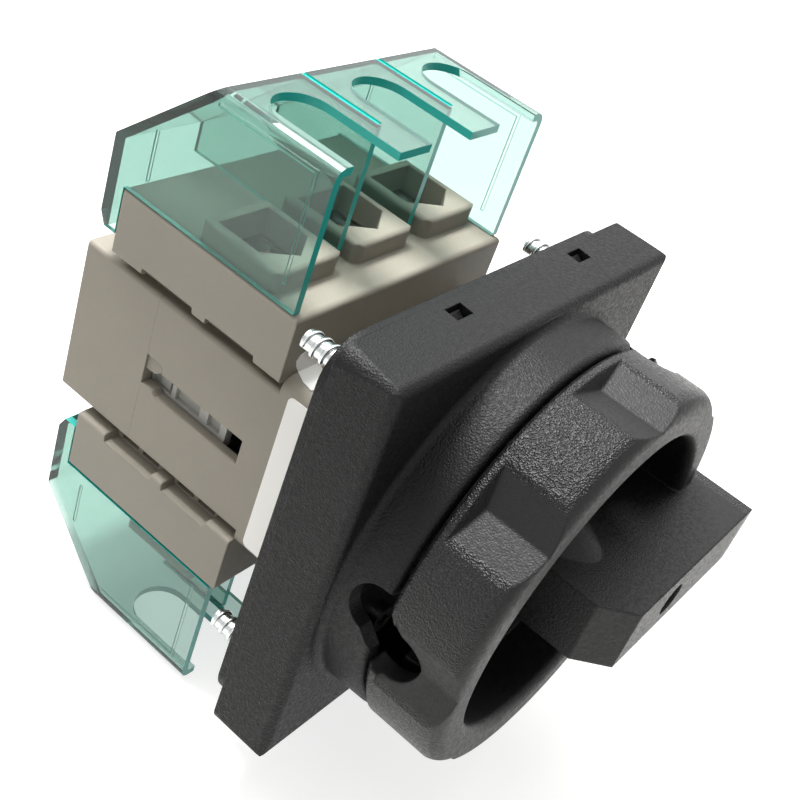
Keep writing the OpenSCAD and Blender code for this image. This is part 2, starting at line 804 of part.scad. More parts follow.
// Terminal block, drawn for the upper side
module terminal_block() {
    neck_w2 = cavity_w / 2;
    neck_y0 = front_t + 2;
    neck_y1 = block_y1 - 1.6;
    front_mid = (front_t + foot_w + mid_foot_y - mid_foot_w / 2) / 2;
    rear_mid = (mid_foot_y + mid_foot_w / 2 + rear_foot_y) / 2;
    neck_pockets = [for (y = [front_mid, rear_mid], s = [-0.65, 0.65]) y + s * pocket_l];
    color(pale_grey) difference() {
        union() {
            intersection() {
                along_x(-block_w / 2, block_w / 2) block_profile();
                along_y(front_t, block_y1) translate([0, (block_z0 + block_z1) / 2])
                    round_rect(block_w, block_z1 - block_z0, 0.8);
            }
            box([-neck_w2, neck_y0, housing_h / 2], [neck_w2, neck_y1, block_z0 + notch_h + 1]);
            for (x = poles) translate([x, 0, 0]) boss();
        }
        for (x = poles) translate([x, 0, 0]) {
            box([-chamber_w / 2, chamber_y0, cage_z0 - 0.4], [chamber_w / 2, chamber_y1, chamber_z]);
            translate([0, 0, chamber_z - 1])
                linear_extrude(block_z1 + boss_h - chamber_z + 2) cable_opening();
            translate([0, 0, cage_z]) rod_y(chamber_y1 - 1, block_y1 + 1, clamp_d / 2 + 0.3);
            translate([0, 0, cage_z]) rod_y(head_y - 0.1, block_y1 + 1, head_r + 0.4);
            bar_slot(0, housing_h / 2 - 1, cage_z0 + 0.5);
        }
        for (x = [0, 1], y = neck_pockets) mirror([x, 0, 0]) box(
            [neck_w2 - pocket_in, y - pocket_l / 2, housing_h / 2 + 0.4],
            [neck_w2 + 1, y + pocket_l / 2, block_z0 + notch_h - 0.4]
        );
    }
}

// Side view of the block with the two notches in its lower edge
module block_profile() {
    lead = 0.3;
    top = block_z0 + notch_h;
    mid_y0 = mid_foot_y - mid_foot_w / 2;
    mid_y1 = mid_foot_y + mid_foot_w / 2;
    translate([front_t + block_edge, block_z1 - block_edge]) circle(block_edge, $fn = 32);
    polygon([
        [front_t + block_edge, block_z1], [front_t, block_z1 - block_edge], [front_t, block_z0],
        [front_t + foot_w, block_z0], [front_t + foot_w + lead, top],
        [mid_y0 - lead, top], [mid_y0, block_z0], [mid_y1, block_z0], [mid_y1 + lead, top],
        [rear_foot_y - lead, top], [rear_foot_y, block_z0], [block_y1, block_z0], [block_y1, block_z1]
    ]);
}

// Raised boss round a cable opening
module boss() {
    translate([0, (boss_y0 + boss_y1) / 2, block_z1 - 1])
        soft_block(boss_w, boss_y1 - boss_y0, boss_h + 1, 2, boss_edge);
}

// Five-sided opening that points to the front
module cable_opening() {
    polygon([
        [-entry_w / 2, boss_y1 - entry_end], [-entry_w / 2, boss_y0 + entry_shoulder],
        [0, boss_y0 + entry_tip],
        [entry_w / 2, boss_y0 + entry_shoulder], [entry_w / 2, boss_y1 - entry_end]
    ]);
}

module upper_terminal_block() {
    terminal_block();
}

module lower_terminal_block() {
    mirror([0, 0, 1]) terminal_block();
}

// Side view of a cover's outside
module cover_outside() {
    polygon([
        [cover_y0, cover_base], [cover_y0, cover_top], [ridge_y, cover_top], [cover_y1, slope_z],
        [cover_y1, lip_z + 2.6], [cover_y1 - 1.4, lip_z], [cover_hook_y, lip_z], [cover_hook_y, cover_base]
    ]);
}

// Side view of the room inside a cover
module cover_inside() {
    in_y = cover_y1 - cover_wall;
    polygon([
        [cover_y0 - 1, cover_base - 1], [cover_y0 - 1, cover_top - cover_wall],
        [ridge_y - cover_wall * 0.4, cover_top - cover_wall], [in_y, slope_z - cover_wall * 0.4],
        [in_y, lip_z - 1], [cover_hook_y - 1, lip_z - 1], [cover_hook_y - 1, cover_base - 1]
    ]);
}

// Front view of a cover with rounded outer edges, inset by d
module cover_front(d) {
    reach = 120;
    translate([0, cover_top - d - reach / 2]) round_rect(block_w - 2 * d, reach, 2.6 - d);
}

// Clear terminal cover, drawn for the upper side
module terminal_cover() {
    color(teal, 0.5) {
        difference() {
            intersection() {
                along_x(-block_w / 2, block_w / 2) cover_outside();
                along_y(cover_y0 - 1, cover_y1 + 1) cover_front(0);
            }
            intersection() {
                along_x(-block_w / 2, block_w / 2) cover_inside();
                along_y(cover_y0 - 2, cover_y1 + 1) cover_front(cover_wall);
            }
            for (x = poles) translate([x, 0, cover_top - cover_wall - 1]) linear_extrude(cover_wall + 2) {
                translate([-slot_w / 2, cover_y0 - 1]) square([slot_w, slot_end - slot_w / 2 - cover_y0 + 1]);
                translate([0, slot_end - slot_w / 2]) circle(slot_w / 2, $fn = 64);
            }
            for (x = partitions)
                box([x - 0.6, partition_y0, cover_top - line_h], [x + 0.6, ridge_y + 1, cover_top + 1]);
            for (x = [0, 1]) mirror([x, 0, 0]) side_lines();
        }
        for (x = partitions) partition(x);
    }
}

// Fine grooves inside a side wall, along its front, its top and its back
module side_lines() {
    x0 = block_w / 2 - cover_wall - 0.5;
    x1 = block_w / 2 - cover_wall + line_h;
    z0 = block_z1 + 3.7;
    front = cover_y0 + line_front;
    top = cover_top - cover_wall - 1.8;
    back = cover_y1 - cover_wall - line_back;
    box([x0, front, z0], [x1, front + line_w, top]);
    box([x0, front, top], [x1, ridge_y, top + line_w]);
    box([x0, back, z0], [x1, back + line_w, slope_z + 5]);
}

// Wall between two poles
module partition(x) {
    foot = block_z1 + 2.3;
    t = 1.4;
    z1 = cover_top - cover_wall + 0.1;
    y1 = cover_y1 - cover_wall + 0.1;
    along_x(x - t / 2, x + t / 2) polygon([
        [partition_y0, foot], [partition_y0, z1], [ridge_y - 0.5, z1], [y1, slope_z - 0.5], [y1, foot]
    ]);
}

module upper_terminal_cover() {
    terminal_cover();
}

module lower_terminal_cover() {
    mirror([0, 0, 1]) terminal_cover();
}

// Three current bars with their fixed contact tips, drawn for the upper side
module contact_bars() {
    color(copper) for (x = poles) translate([x, 0, 0]) {
        box([-bar_w / 2, bar_y, bar_low], [bar_w / 2, bar_y + bar_t, bar_top]);
        translate([0, 0, tip_z]) rod_y(bar_y + bar_t - 0.5, fixed_tip_y, tip_d / 2);
    }
}

module line_contact_bars() {
    contact_bars();
}

module load_contact_bars() {
    mirror([0, 0, 1]) contact_bars();
}

// Clamp cage round a current bar, pulled back by its screw
module cage(i, side) {
    h = (cage_z1 - cage_z0) / 2;
    color(zinc) translate([poles[i], 0, side * cage_z]) difference() {
        box([-cage_w / 2, cage_y0, -h], [cage_w / 2, cage_back, h]);
        box([-cage_w / 2 + cage_t, cage_y0 + cage_t, -h - 1], [cage_w / 2 - cage_t, cage_wall_y, h + 1]);
        rod_y(cage_wall_y - 1, cage_back + 1, clamp_d / 2);
    }
}

// Slotted clamp screw
module clamp_screw(i, side) {
    color(zinc) translate([poles[i], 0, side * cage_z]) difference() {
        union() {
            rod_y(screw_tip_y, head_y + 0.5, clamp_d / 2 - fit);
            rod_y(head_y, head_y + head_h, head_r);
        }
        box([-0.5, head_y + head_h - 1.4, -head_r - 1], [0.5, head_y + head_h + 1, head_r + 1]);
    }
}

// Carrier: side rails with pockets, pole dividers with follower arms, and cross bars
module contact_carrier() {
    pockets = [[1.7, 4.9], [7.2, 13.7], [14.8, 20]];
    h = carrier_h / 2;
    color(pale_grey) {
        for (x = [0, 1]) mirror([x, 0, 0]) {
            difference() {
                box([rail_x - rail_t, carrier_y0, -h], [rail_x, carrier_y1, h]);
                for (p = pockets) translate([0, carrier_y0, 0])
                    box([rail_x - 1, p[0], -carrier_h * 0.3], [rail_x + 1, p[1], h + 1]);
            }
            box([arm_x, carrier_y0, -h], [arm_x + arm_t, carrier_y1, h]);
            box([arm_x, pin_y - arm_h, -arm_h], [arm_x + arm_t, carrier_y0 + 1, arm_h]);
            translate([groove_core + 0.3, pin_y, 0]) rotate([0, 90, 0])
                cylinder(h = arm_x - groove_core, r = pin_r, $fn = 48);
        }
        box([-rail_x, carrier_bar_y, -h], [rail_x, carrier_y1, h]);
        box([-rail_x + 0.5, bridge_y - 2.6, -lip_h], [rail_x - 0.5, bridge_y, lip_h]);
    }
}

// Moving bridges with a contact tip at each end
module contact_bridges() {
    color(copper) for (x = poles) translate([x, 0, 0]) {
        box([-bridge_w / 2, bridge_y, -bridge_h / 2], [bridge_w / 2, bridge_y + bridge_t, bridge_h / 2]);
        for (s = [-1, 1]) translate([0, 0, s * tip_z]) rod_y(bridge_tip_y, bridge_y + 0.5, tip_d / 2);
    }
}

// Springs that press the bridges against the fixed contacts
module contact_springs() {
    color(zinc) for (x = poles) translate([x, spring_y + 0.1, 0]) rotate([-90, 0, 0])
        coil(spring_r, spring_wire, spring_len - 0.2, 3.5);
}

// Helical wire of mean radius r, wire radius w, height h and n turns
module coil(r, w, h, n) {
    steps = 14;
    count = ceil(n * steps);
    sides = 6;
    rings = [
        for (i = [0 : count]) let(a = 360 * n * i / count, z = w + (h - 2 * w) * i / count)
            for (k = [0 : sides - 1]) let(b = 360 * k / sides)
                [(r + w * cos(b)) * cos(a), (r + w * cos(b)) * sin(a), z + w * sin(b)]
    ];
    faces = concat(
        [[for (k = [0 : sides - 1]) k]],
        [for (i = [0 : count - 1], k = [0 : sides - 1])
            let(a = i * sides, b = a + sides, n = (k + 1) % sides) [a + k, b + k, b + n, a + n]],
        [[for (k = [sides - 1 : -1 : 0]) count * sides + k]]
    );
    polyhedron(rings, faces, convexity = 8);
}

escutcheon_plate();
mounting_frame();
mounting_screws();
body_screws();
shaft_seal();
knob();
knob_retainer();
drive_shaft();
cam_drum();
detent_plungers();
detent_springs();
front_housing();
rear_cover();
upper_terminal_block();
lower_terminal_block();
upper_terminal_cover();
lower_terminal_cover();
line_contact_bars();
load_contact_bars();
cage(0, 1);  // upper_cage_1
cage(1, 1);  // upper_cage_2
cage(2, 1);  // upper_cage_3
cage(0, -1);  // lower_cage_1
cage(1, -1);  // lower_cage_2
cage(2, -1);  // lower_cage_3
clamp_screw(0, 1);  // upper_clamp_screw_1
clamp_screw(1, 1);  // upper_clamp_screw_2
clamp_screw(2, 1);  // upper_clamp_screw_3
clamp_screw(0, -1);  // lower_clamp_screw_1
clamp_screw(1, -1);  // lower_clamp_screw_2
clamp_screw(2, -1);  // lower_clamp_screw_3
contact_carrier();
contact_bridges();
contact_springs();
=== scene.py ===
# Rotary switch disconnector for a panel door, dressed for a studio picture
import json
import math

import bmesh
import bpy
from mathutils import Matrix, Vector
from mathutils.bvhtree import BVHTree


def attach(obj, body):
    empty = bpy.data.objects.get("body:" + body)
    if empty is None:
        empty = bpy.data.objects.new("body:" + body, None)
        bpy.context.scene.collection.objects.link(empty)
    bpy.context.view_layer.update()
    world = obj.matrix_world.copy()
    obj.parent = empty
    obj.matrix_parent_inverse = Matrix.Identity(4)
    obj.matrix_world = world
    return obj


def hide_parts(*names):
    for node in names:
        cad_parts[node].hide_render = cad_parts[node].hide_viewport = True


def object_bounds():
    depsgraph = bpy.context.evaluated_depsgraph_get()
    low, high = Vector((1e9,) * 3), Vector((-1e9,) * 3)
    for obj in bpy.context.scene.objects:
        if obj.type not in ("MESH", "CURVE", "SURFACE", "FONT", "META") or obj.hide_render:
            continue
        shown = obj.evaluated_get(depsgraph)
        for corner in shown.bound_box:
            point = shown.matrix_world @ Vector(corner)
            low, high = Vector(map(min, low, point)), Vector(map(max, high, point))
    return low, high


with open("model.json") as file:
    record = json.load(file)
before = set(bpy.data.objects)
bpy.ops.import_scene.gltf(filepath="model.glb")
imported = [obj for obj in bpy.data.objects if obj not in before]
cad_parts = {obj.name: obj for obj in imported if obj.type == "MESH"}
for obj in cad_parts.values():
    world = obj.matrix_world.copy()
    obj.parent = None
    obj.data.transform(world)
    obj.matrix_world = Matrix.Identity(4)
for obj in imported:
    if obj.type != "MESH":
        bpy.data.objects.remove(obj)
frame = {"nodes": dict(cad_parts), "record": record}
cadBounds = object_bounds()
mm = 0.001
print("frame loaded")


# sRGB hex to linear
def linear(code):
    out = []
    for i in (1, 3, 5):
        c = int(code[i : i + 2], 16) / 255
        out.append(c / 12.92 if c <= 0.04045 else ((c + 0.055) / 1.055) ** 2.4)
    return (*out, 1.0)


# One node with its settings and links; a socket is named by its name, identifier or place
def addNode(tree, kind, settings=None, links=None):
    node = tree.nodes.new(kind)
    sockets = {}
    for key, value in (settings or {}).items():
        if isinstance(key, str) and hasattr(node, key):
            setattr(node, key, value)
        else:
            sockets[key] = value
    known = {socket.identifier: socket for socket in node.inputs}
    for key, value in sockets.items():
        (known.get(key) or node.inputs[key]).default_value = value
    for key, source in (links or {}).items():
        tree.links.new(source, known.get(key) or node.inputs[key])
    return node


def newMaterial(name):
    material = bpy.data.materials.new(name)
    material.use_nodes = True
    material.node_tree.nodes.clear()
    return material, material.node_tree


def place(tree):
    return addNode(tree, "ShaderNodeTexCoord").outputs["Object"]


# A sum of two numbers and the like, where either side may be a socket
def reckon(tree, operation, first, second=0.0, clamp=False):
    node = addNode(tree, "ShaderNodeMath", {"operation": operation, "use_clamp": clamp})
    for socket, value in zip(node.inputs, (first, second)):
        if isinstance(value, (int, float)):
            socket.default_value = value
        else:
            tree.links.new(value, socket)
    return node.outputs[0]


# 0 to 1 as a value passes from low to high
def ramp(tree, value, low, high):
    settings = {"interpolation_type": "SMOOTHSTEP", "From Min": low, "From Max": high}
    return addNode(tree, "ShaderNodeMapRange", settings, {"Value": value}).outputs[0]


def blendColour(tree, factor, first, second):
    settings = {"data_type": "RGBA", "A_Color": linear(first), "B_Color": linear(second)}
    return addNode(tree, "ShaderNodeMix", settings, {"Factor_Float": factor}).outputs[2]


def finishMaterial(tree, shader, volume=None):
    links = {"Surface": shader.outputs[0]}
    if volume:
        links["Volume"] = volume.outputs[0]
    addNode(tree, "ShaderNodeOutputMaterial", links=links)


# What every moulded plastic shares
moulding = {
    "soften": 0.3,  # how far neighbouring domes of the grain melt together
    "pits": 2.2,  # width of the pits between them, in domes
    "height": 0.5,  # of the grain, in domes
    "patches": (0.35, 0.65),  # part of the grain that the roughness follows
    "cloud": 14.0,  # mm, faint unevenness of the colour
    "edgeSamples": 4,
}


# Injection-moulded plastic: an eroded grain of fine domes that breaks up the gloss into specks
def mouldedPlastic(name, look, grainMask=None):
    material, tree = newMaterial(name)
    where = place(tree)
    domes = {"feature": "SMOOTH_F1", "Scale": 1 / (look["grain"] * mm), "Smoothness": moulding["soften"]}
    dome = addNode(tree, "ShaderNodeTexVoronoi", domes, {"Vector": where}).outputs["Distance"]
    pits = {"Scale": 1 / (look["grain"] * moulding["pits"] * mm), "Detail": 3.0, "Roughness": 0.6}
    grain = addNode(tree, "ShaderNodeTexNoise", pits, {"Vector": where}).outputs["Fac"]
    cloud = {"Scale": 1 / (moulding["cloud"] * mm), "Detail": 2.0}
    unevenness = addNode(tree, "ShaderNodeTexNoise", cloud, {"Vector": where}).outputs["Fac"]
    tone = blendColour(tree, unevenness, look["dark"], look["light"])
    low, high = moulding["patches"]
    spread = {"From Min": low, "From Max": high, "To Min": look["rough"][0], "To Max": look["rough"][1]}
    rough = addNode(tree, "ShaderNodeMapRange", spread, {"Value": grain}).outputs[0]
    rounding = {"samples": moulding["edgeSamples"], "Radius": look["edge"] * mm}
    edge = addNode(tree, "ShaderNodeBevel", rounding).outputs[0]
    relief = {"Strength": look["depth"], "Distance": look["grain"] * mm * moulding["height"]}
    links = {"Height": reckon(tree, "ADD", dome, grain), "Normal": edge}
    if grainMask:
        mask = grainMask(tree, where)
        links["Strength"] = reckon(tree, "MULTIPLY", mask, look["depth"])
        duller = reckon(tree, "MULTIPLY", reckon(tree, "SUBTRACT", 1.0, mask), look["dull"])
        rough = reckon(tree, "ADD", rough, duller)
    bump = addNode(tree, "ShaderNodeBump", relief, links)
    settings = {"IOR": 1.5, "Specular IOR Level": look["shine"]}
    links = {"Base Color": tone, "Roughness": rough, "Normal": bump.outputs[0]}
    finishMaterial(tree, addNode(tree, "ShaderNodeBsdfPrincipled", settings, links))
    return material


# Clear tinted polycarbonate: faces very slightly wavy from the mould, and a tint that grows with depth
def clearTeal(name, look):
    material, tree = newMaterial(name)
    wave = addNode(tree, "ShaderNodeTexNoise", {"Scale": 1 / (look["wave"] * mm)}, {"Vector": place(tree)})
    relief = {"Strength": look["depth"], "Distance": look["height"] * mm}
    bump = addNode(tree, "ShaderNodeBump", relief, {"Height": wave.outputs["Fac"]})
    settings = {"Base Color": linear(look["colour"]), "Roughness": look["haze"], "IOR": look["ior"]}
    settings["Transmission Weight"] = look["clear"]
    shader = addNode(tree, "ShaderNodeBsdfPrincipled", settings, {"Normal": bump.outputs[0]})
    tint = {"Color": linear(look["tint"]), "Density": look["density"]}
    finishMaterial(tree, shader, addNode(tree, "ShaderNodeVolumeAbsorption", tint))
    return material


# Plated or bare metal with the fine streaks of its forming
def metal(name, look):
    material, tree = newMaterial(name)
    streak = {"Scale": 1 / (look["grain"] * mm), "Detail": 4.0}
    grain = addNode(tree, "ShaderNodeTexNoise", streak, {"Vector": place(tree)}).outputs["Fac"]
    spread = {"To Min": look["rough"][0], "To Max": look["rough"][1]}
    rough = addNode(tree, "ShaderNodeMapRange", spread, {"Value": grain}).outputs[0]
    tone = blendColour(tree, grain, look["dark"], look["light"])
    links = {"Base Color": tone, "Roughness": rough}
    finishMaterial(tree, addNode(tree, "ShaderNodeBsdfPrincipled", {"Metallic": 1.0}, links))
    return material


# Radius in millimetres over which the knob's grain sets in, and how much of it there is further in
knobLands = {"from": 41.2, "to": 41.8, "inside": 0.25}


# The knob's lands are grained, its valleys and its grip are nearly smooth
def knobGrain(tree, where):
    across = {"operation": "MULTIPLY", 1: (1, 0, 1)}
    flat = addNode(tree, "ShaderNodeVectorMath", across, {0: where}).outputs[0]
    radius = addNode(tree, "ShaderNodeVectorMath", {"operation": "LENGTH"}, {0: flat}).outputs["Value"]
    land = ramp(tree, radius, knobLands["from"] * mm, knobLands["to"] * mm)
    return reckon(tree, "ADD", land, knobLands["inside"], clamp=True)


# Grain, edge, wave and height in millimetres; roughness from the glossiest grain to the dullest
looks = {
    # polyamide from an eroded mould: almost black, with a satin sheen broken into grain
    "black": {
        "dark": "#0B0B0C",
        "light": "#101011",
        "rough": (0.38, 0.6),
        "shine": 0.19,
        "grain": 0.35,
        "depth": 0.5,
        "edge": 0.35,
    },
    # the same moulded coarser and glossier: bright specks on the lands, a dull sheen on smooth faces
    "knob": {
        "dark": "#070708",
        "light": "#0B0B0C",
        "rough": (0.22, 0.4),
        "dull": 0.24,  # roughness that smooth faces have beyond the grained ones
        "shine": 0.31,
        "grain": 0.36,
        "depth": 1.0,
        "edge": 0.8,
    },
    # mineral-filled housing plastic from a fine mould: warm grey and nearly matt
    "grey": {
        "dark": "#827C71",
        "light": "#898377",
        "rough": (0.5, 0.62),
        "shine": 0.4,
        "grain": 0.3,
        "depth": 0.1,
        "edge": 0.3,
    },
    # the same on the terminal blocks, with softer edges that catch more light
    "pale": {
        "dark": "#827D72",
        "light": "#898478",
        "rough": (0.5, 0.62),
        "shine": 0.4,
        "grain": 0.3,
        "depth": 0.1,
        "edge": 0.5,
    },
    # unfilled carrier plastic: a cool light grey that shows up in the dark window
    "light": {
        "dark": "#B4B4AE",
        "light": "#BCBCB6",
        "rough": (0.45, 0.6),
        "shine": 0.4,
        "grain": 0.3,
        "depth": 0.1,
        "edge": 0.2,
    },
    # moulded rubber: soft black with hardly any gloss
    "seal": {
        "dark": "#141414",
        "light": "#1A1A1A",
        "rough": (0.6, 0.75),
        "shine": 0.3,
        "grain": 0.2,
        "depth": 0.1,
        "edge": 0.2,
    },
    # coated polyester film: smooth off-white with a low even gloss
    "label": {
        "dark": "#E2E1DC",
        "light": "#E8E7E3",
        "rough": (0.35, 0.45),
        "shine": 0.5,
        "grain": 0.2,
        "depth": 0.02,
        "edge": 0.05,
    },
    # clear polycarbonate from a polished mould: a light teal veil over what lies behind it
    "wall": {
        "colour": "#CADCD6",
        "haze": 0.0,
        "clear": 0.95,
        "ior": 1.3,
        "wave": 9.0,
        "height": 0.1,
        "depth": 0.3,
        "tint": "#3DB8AC",
        "density": 140.0,
    },
    # its narrow edges: a mostly opaque deep teal, painted light that stands in for the light which runs along
    # the wall and comes out there, over the wall's own teal tint
    "rim": {
        "colour": "#2BB0A5",
        "haze": 0.22,
        "clear": 0.15,
        "ior": 1.5,
        "wave": 2.0,
        "height": 0.1,
        "depth": 0.3,
        "tint": "#4FB5A4",
        "density": 120.0,
    },
    # bright zinc plate on cold-headed steel: a cool mirror with a faint mottle
    "zinc": {"dark": "#B9BDBD", "light": "#D3D6D5", "rough": (0.16, 0.3), "grain": 0.6},
    # drawn spring wire: darker steel with a soft sheen
    "spring": {"dark": "#85878A", "light": "#96989A", "rough": (0.25, 0.4), "grain": 0.4},
    # thin tin on rolled copper: the copper's warmth under a satin gloss
    "tinned": {"dark": "#AE8062", "light": "#BF9072", "rough": (0.25, 0.42), "grain": 0.8},
}
black = mouldedPlastic("blackPolyamide", looks["black"])
knobBlack = mouldedPlastic("blackKnobPolyamide", looks["knob"], knobGrain)
grey = mouldedPlastic("greyHousingPlastic", looks["grey"])
pale = mouldedPlastic("greyTerminalPlastic", looks["pale"])
light = mouldedPlastic("lightCarrierPlastic", looks["light"])
rubber = mouldedPlastic("blackSealRubber", looks["seal"])
paper = mouldedPlastic("whiteLabelFilm", looks["label"])
teal = clearTeal("clearTealPolycarbonate", looks["wall"])
# the edge material: deep teal painted on as the light that comes out of the wall's edges
tealEdgePaintedLight = clearTeal("clearTealEdgePaintedLight", looks["rim"])
zinc = metal("zincPlatedSteel", looks["zinc"])
spring = metal("springSteel", looks["spring"])
copper = metal("tinnedCopper", looks["tinned"])

finish = {
    "black_plastic": black,
    "grey_plastic": grey,
    "pale_plastic": pale,
    "light_plastic": light,
    "clear_teal": teal,
    "zinc_steel": zinc,
    "spring_steel": spring,
    "copper_bar": copper,
    "seal_rubber": rubber,
}
slotOf = {part["node"]: part["material_slot"] for part in frame["record"]["subparts"]}
for name, part in frame["nodes"].items():
    part.data.materials.clear()
    part.data.materials.append(knobBlack if name == "knob" else finish[slotOf[name]])
print("materials on")


# A CAD node's loose triangles as one closed shape
def mergedCopy(node):
    shape = bmesh.new()
    shape.from_mesh(frame["nodes"][node].data)
    bmesh.ops.remove_doubles(shape, verts=shape.verts, dist=1e-6)
    return shape


def meshFrom(name, shape):
    mesh = bpy.data.meshes.new(name)
    shape.to_mesh(mesh)
    shape.free()
    return mesh


def addObject(name, mesh, materials, body):
    thing = bpy.data.objects.new(name, mesh)
    bpy.context.scene.collection.objects.link(thing)
    for material in materials:
        mesh.materials.append(material)
    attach(thing, body)
    return thing


# A face is a cut edge where the wall is far deeper behind it than it is thick, in millimetres. The
# depth is felt from just under the face, at its middle and near its corners.
coverEdge = {"deeper": 2.6, "inset": 0.02, "spread": 0.85}


def addCover(side):
    node = side + "_terminal_cover"
    shape = mergedCopy(node)
    bmesh.ops.recalc_face_normals(shape, faces=shape.faces)
    walls = BVHTree.FromBMesh(shape)
    for face in shape.faces:
        inward = -face.normal
        middle = face.calc_center_median()
        spots = [middle] + [middle.lerp(corner.co, coverEdge["spread"]) for corner in face.verts]
        depths = [walls.ray_cast(spot + inward * coverEdge["inset"] * mm, inward)[3] for spot in spots]
        # such cut edges take the second material, with its deep teal painted on as light coming out of the
        # wall
        face.material_index = int(all(depth is None or depth > coverEdge["deeper"] * mm for depth in depths))
    name = side + "CoverClear"
    bodies = frame["record"]["behaviour"]["bodies"]
    body = next(body for body, nodes in bodies.items() if node in nodes)
    cover = addObject(name, meshFrom(name, shape), (teal, tealEdgePaintedLight), body)
    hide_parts(node)


# Coarse rolled thread of the screws that form their own thread in the plate, in millimetres
thread = {
    "spacing": 68.0,
    "neck": -0.3,  # the plain shank is cut off here
    "start": -0.6,
    "end": 9.55,
    "core": 1.85,
    "crest": 2.45,
    "rib": 0.5,
    "pitch": 2.24,
    "narrowing": 0.92,  # the spiral's last radius to its first
    "run": 0.95,  # share of the length that the spiral takes
    "risen": 0.08,  # share of the spiral after which the rib has its full height
    "falling": 0.86,  # and from which it dies away
    "rounding": (0.86, 0.995),  # share of the core over which it rounds off to its tip
    "coreSteps": 60,
    "coreSides": 40,
    "ribSteps": 40,  # in one turn
    "ribSides": 14,
    "crease": 40,  # degrees
}


def threadTree():
    tree = bpy.data.node_groups.new("rolledThread", "GeometryNodeTree")
    ports = tree.interface
    ports.new_socket("Seats", in_out="INPUT", socket_type="NodeSocketGeometry")
    wanted = {}
    for name in ("Length", "Core", "Crest", "Rib", "Turns"):
        wanted[name] = ports.new_socket(name, in_out="INPUT", socket_type="NodeSocketFloat").identifier
    wanted["Finish"] = ports.new_socket("Finish", in_out="INPUT", socket_type="NodeSocketMaterial").identifier
    ports.new_socket("Screws", in_out="OUTPUT", socket_type="NodeSocketGeometry")
    given = addNode(tree, "NodeGroupInput").outputs
    along = {"Value": addNode(tree, "GeometryNodeSplineParameter").outputs["Factor"]}

    # a rib on a spiral, which dies away at both ends
    rise = addNode(tree, "ShaderNodeMapRange", {"From Max": thread["risen"]}, along).outputs[0]
    ending = {"From Min": 1.0, "From Max": thread["falling"]}
    fall = addNode(tree, "ShaderNodeMapRange", ending, along).outputs[0]
    wide = reckon(tree, "SUBTRACT", given["Crest"], given["Rib"])
    links = {"Rotations": given["Turns"], "Start Radius": wide}
    links["End Radius"] = reckon(tree, "MULTIPLY", wide, thread["narrowing"])
    links["Height"] = reckon(tree, "MULTIPLY", given["Length"], thread["run"])
    spiral = addNode(tree, "GeometryNodeCurveSpiral", {"Resolution": thread["ribSteps"]}, links)
    swell = {"Curve": spiral.outputs[0], "Radius": reckon(tree, "MULTIPLY", rise, fall)}
    ridge = addNode(tree, "GeometryNodeSetCurveRadius", links=swell)
    sides = {"Resolution": thread["ribSides"]}
    profile = addNode(tree, "GeometryNodeCurvePrimitiveCircle", sides, {"Radius": given["Rib"]})
    links = {"Curve": ridge.outputs[0], "Profile Curve": profile.outputs[0]}
    rib = addNode(tree, "GeometryNodeCurveToMesh", {"Fill Caps": True}, links)

    # the core ends in a rounded tip
    top = addNode(tree, "ShaderNodeCombineXYZ", links={"Z": given["Length"]})
    axis = addNode(tree, "GeometryNodeCurvePrimitiveLine", links={"End": top.outputs[0]})
    count = {"Count": thread["coreSteps"]}
    steps = addNode(tree, "GeometryNodeResampleCurve", count, {"Curve": axis.outputs[0]})
    begin, end = thread["rounding"]
    tip = addNode(tree, "ShaderNodeMapRange", {"From Min": begin, "From Max": end}, along).outputs[0]
    bow = reckon(tree, "SQRT", reckon(tree, "SUBTRACT", 1.0, reckon(tree, "MULTIPLY", tip, tip)))
    core = addNode(tree, "GeometryNodeSetCurveRadius", links={"Curve": steps.outputs[0], "Radius": bow})
    sides = {"Resolution": thread["coreSides"]}
    profile = addNode(tree, "GeometryNodeCurvePrimitiveCircle", sides, {"Radius": given["Core"]})
    links = {"Curve": core.outputs[0], "Profile Curve": profile.outputs[0]}
    rod = addNode(tree, "GeometryNodeCurveToMesh", {"Fill Caps": True}, links)

    both = addNode(tree, "GeometryNodeJoinGeometry")
    tree.links.new(rib.outputs[0], both.inputs[0])
    tree.links.new(rod.outputs[0], both.inputs[0])
    backwards = {"Rotation": (-math.pi / 2, 0, 0)}
    links = {"Points": given["Seats"], "Instance": both.outputs[0]}
    seated = addNode(tree, "GeometryNodeInstanceOnPoints", backwards, links)
    real = addNode(tree, "GeometryNodeRealizeInstances", links={"Geometry": seated.outputs[0]})
    links = {"Geometry": real.outputs[0], "Material": given["Finish"]}
    painted = addNode(tree, "GeometryNodeSetMaterial", links=links)
    addNode(tree, "NodeGroupOutput", links={0: painted.outputs[0]})
    return tree, wanted


# The thread tree's result as a plain mesh
def rolledThreads(screws):
    tree, wanted = threadTree()
    modifier = screws.modifiers.new("rolledThread", "NODES")
    modifier.node_group = tree
    length = thread["end"] - thread["start"]
    sizes = {"Length": length, "Core": thread["core"], "Crest": thread["crest"], "Rib": thread["rib"]}
    for name, value in sizes.items():
        modifier[wanted[name]] = value * mm
    modifier[wanted["Turns"]] = length / thread["pitch"]
    modifier[wanted["Finish"]] = zinc
    ready = screws.evaluated_get(bpy.context.evaluated_depsgraph_get())
    threads = bpy.data.meshes.new_from_object(ready)
    screws.modifiers.clear()
    return threads


